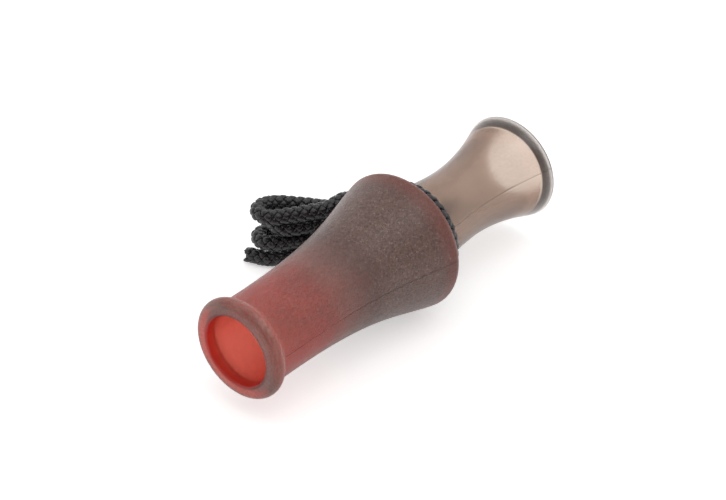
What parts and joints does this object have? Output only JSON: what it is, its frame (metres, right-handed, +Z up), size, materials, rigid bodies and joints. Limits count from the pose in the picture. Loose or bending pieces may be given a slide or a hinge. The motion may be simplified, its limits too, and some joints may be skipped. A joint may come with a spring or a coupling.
{
  "type": "game call",
  "caption": "Hand-blown game call: a flared translucent barrel with a rolled lip, a bell-mouthed insert that plugs into it, a reed voice inside, and a braided lanyard tied round the neck.",
  "frame": {"origin": "on the table under the middle of the call, which lies on its widest ring", "axes": "+X along the call's axis towards the bell, +Z up, lanyard bundled on the +Y side"},
  "size_m": [0.1052, 0.0603, 0.036],
  "materials": {
    "barrel_plastic": "finely textured translucent red-brown moulded plastic",
    "smoke_plastic": "satin translucent smoke moulded plastic",
    "ivory_plastic": "plain moulded plastic",
    "reed_film": "thin polyester film",
    "black_rubber": "moulded rubber",
    "braided_cord": "round braid of dark synthetic yarn"
  },
  "bodies": {
    "insert_body": {"insert": "smoke_plastic", "tone_board": "ivory_plastic", "reed_wedge": "black_rubber", "lanyard_neck_loop": "braided_cord", "lanyard_knot": "braided_cord", "lanyard_lead": "braided_cord", "lanyard_hank": "braided_cord"},
    "o_rings": {"o_ring_front": "black_rubber", "o_ring_rear": "black_rubber"},
    "barrel_body": {"barrel": "barrel_plastic"},
    "reed_body": {"reed": "reed_film"}
  },
  "joints": [
    {"name": "barrel_twist", "type": "hinge", "parent": "insert_body", "child": "o_rings", "pos_m": [0, 0, 0.018], "axis": [1, 0, 0], "continuous": true},
    {"name": "barrel_pull", "type": "slide", "parent": "o_rings", "child": "barrel_body", "axis": [-1, 0, 0], "range_m": [0, 0.056]},
    {"name": "reed_flex", "type": "hinge", "parent": "insert_body", "child": "reed_body", "pos_m": [-0.0028, 0, 0.0192], "axis": [0, -1, 0], "range_deg": [0, 2.2], "stiffness_Nm_per_rad": 0.02}
  ]
}
